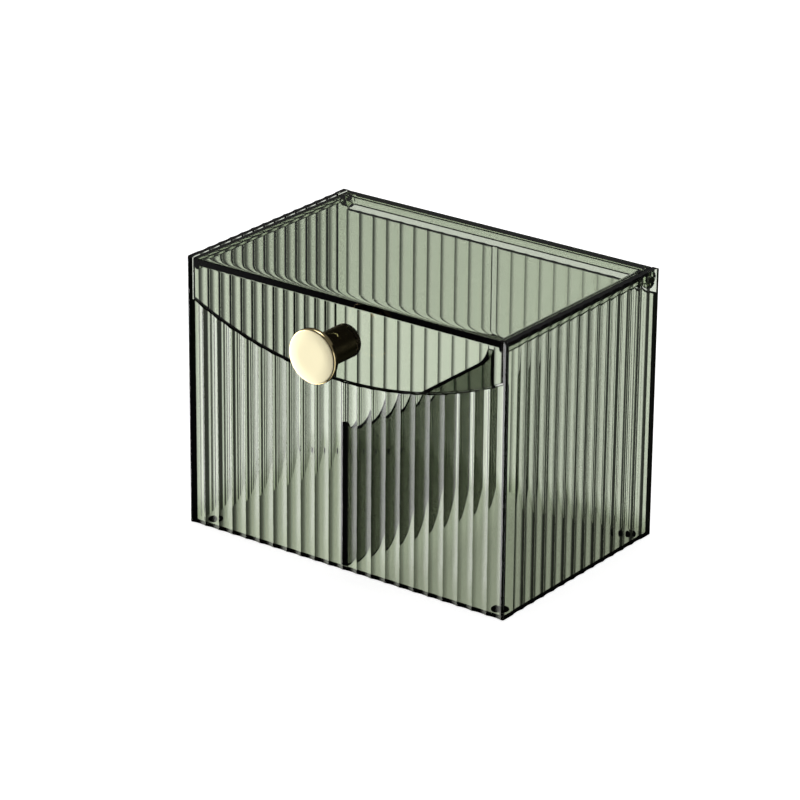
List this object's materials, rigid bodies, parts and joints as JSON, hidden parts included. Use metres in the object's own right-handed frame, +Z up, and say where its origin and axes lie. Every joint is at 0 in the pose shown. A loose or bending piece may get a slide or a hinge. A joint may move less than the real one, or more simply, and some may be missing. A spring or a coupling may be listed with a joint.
{
  "type": "makeup organizer box",
  "caption": "Clear smoky fluted plastic box with a flip-up lid, a polished gold knob and a lift-out divider between two compartments.",
  "frame": {"origin": "middle of the box's footprint, on the plane of the feet's undersides", "axes": "+X to the right seen from the front, -Y out of the front face towards the user, +Z up"},
  "size_m": [0.135, 0.1076, 0.1],
  "materials": {
    "smoky_plastic": "polished, see-through",
    "divider_plastic": "polished, see-through",
    "gold": "mirror polished",
    "steel": "plated",
    "foot_rubber": "matt"
  },
  "bodies": {
    "box": {"body_shell": "smoky_plastic", "hinge_pin_left": "smoky_plastic", "hinge_pin_right": "smoky_plastic", "foot_front_left": "foot_rubber", "foot_front_right": "foot_rubber", "foot_rear_left": "foot_rubber", "foot_rear_right": "foot_rubber"},
    "lid": {"lid": "smoky_plastic", "knob": "gold", "knob_washer": "steel", "knob_screw": "steel"},
    "divider": {"divider": "divider_plastic"}
  },
  "joints": [
    {"name": "lid_hinge", "type": "hinge", "parent": "box", "child": "lid", "pos_m": [0, 0.0415, 0.0962], "axis": [-1, 0, 0], "range_deg": [0, 100]},
    {"name": "divider_lift", "type": "slide", "parent": "box", "child": "divider", "axis": [0, 0, 1], "range_m": [0, 0.015]}
  ]
}
